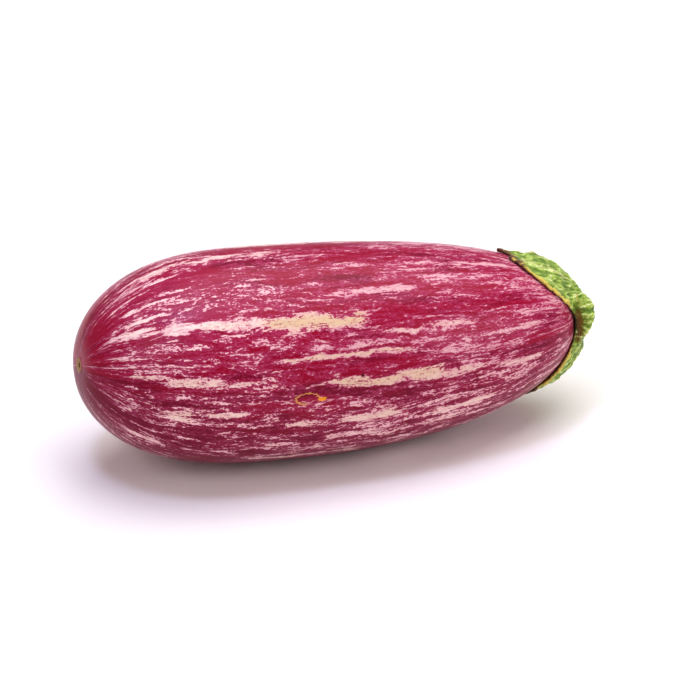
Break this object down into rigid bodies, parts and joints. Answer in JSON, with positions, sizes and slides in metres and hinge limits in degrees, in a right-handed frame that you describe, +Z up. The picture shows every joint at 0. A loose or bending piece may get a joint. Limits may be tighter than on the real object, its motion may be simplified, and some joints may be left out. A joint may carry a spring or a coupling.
{
  "type": "eggplant",
  "caption": "Striped eggplant lying on its side: a plump oval fruit tapering to a green lobed calyx and a short cut stem.",
  "frame": {"origin": "on the surface it lies on, under the middle of its bounding box", "axes": "+X along the fruit towards its stem end, +Z up"},
  "size_m": [0.1472, 0.061, 0.0576],
  "materials": {
    "skin": "glossy crimson skin with cream streaks that run from end to end",
    "calyx": "matte leathery green leaf with pale veins and dried brown tips",
    "stem": "ribbed green stalk with a dry tan cut face"
  },
  "bodies": {
    "root": {"fruit": "skin", "calyx": "calyx", "stem": "stem"}
  },
  "joints": []
}
